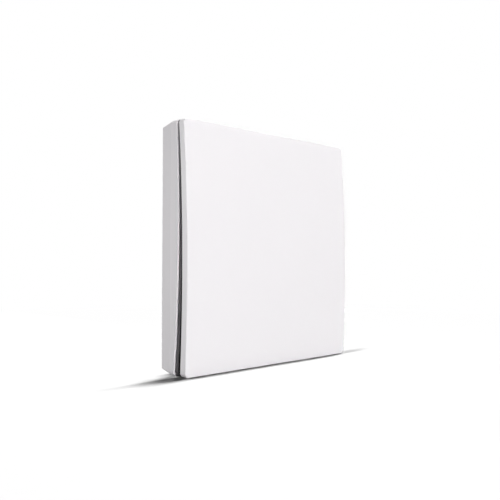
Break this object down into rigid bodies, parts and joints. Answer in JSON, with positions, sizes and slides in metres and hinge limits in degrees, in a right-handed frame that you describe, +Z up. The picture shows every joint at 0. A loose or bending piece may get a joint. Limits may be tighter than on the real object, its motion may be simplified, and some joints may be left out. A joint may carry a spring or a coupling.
{
  "type": "wireless remote wall switch",
  "caption": "Square white wall switch: a large bowed rocker key hinged along its top on a dark inner frame, in a shallow back shell with tapered edges.",
  "frame": {"origin": "centre of the wall face, on the outer face of the adhesive pad", "axes": "+X right seen from the front, the front faces -Y, +Z up"},
  "size_m": [0.086, 0.0156, 0.086],
  "materials": {
    "white_shell": "satin",
    "white_rocker": "smooth satin",
    "grey_frame": "fine texture",
    "foam": "matt foam tape",
    "board_green": "solder mask",
    "black_plastic": "matt",
    "red_plastic": "matt",
    "steel": "bright",
    "brass": "tinned",
    "ceramic": "ceramic",
    "lamp_white": "clear top",
    "clear": "clear acrylic",
    "silicone": "matt"
  },
  "bodies": {
    "switch_body": {"base_shell": "white_shell", "inner_frame": "grey_frame", "adhesive_pad": "foam", "circuit_board": "board_green", "coin_cell": "steel", "battery_holder": "black_plastic", "positive_clip": "brass", "negative_contact": "brass", "micro_switch_base": "black_plastic", "micro_switch_case": "black_plastic", "micro_switch_terminal_1": "brass", "micro_switch_terminal_2": "brass", "micro_switch_terminal_3": "brass", "radio_board": "board_green", "radio_shield": "steel", "crystal_can": "steel", "chip_capacitor_1": "ceramic", "chip_capacitor_2": "ceramic", "chip_capacitor_3": "ceramic", "indicator_led": "lamp_white", "light_guide": "clear", "frame_screw_1": "steel", "frame_screw_2": "steel", "bumper_left": "silicone", "bumper_right": "silicone"},
    "key": {"rocker": "white_rocker"},
    "plunger": {"micro_switch_plunger": "red_plastic"}
  },
  "joints": [
    {"name": "key_press", "type": "hinge", "parent": "switch_body", "child": "key", "pos_m": [0, -0.0078, 0.0376], "axis": [1, 0, 0], "range_deg": [0, 0.6], "stiffness_Nm_per_rad": 2},
    {"name": "plunger_slide", "type": "slide", "parent": "switch_body", "child": "plunger", "axis": [0, 1, 0], "range_m": [0, 0.0007]}
  ],
  "couplings": [
    {"joint": "plunger_slide", "follows": "key_press", "m_per_rad": 0.0636}
  ]
}
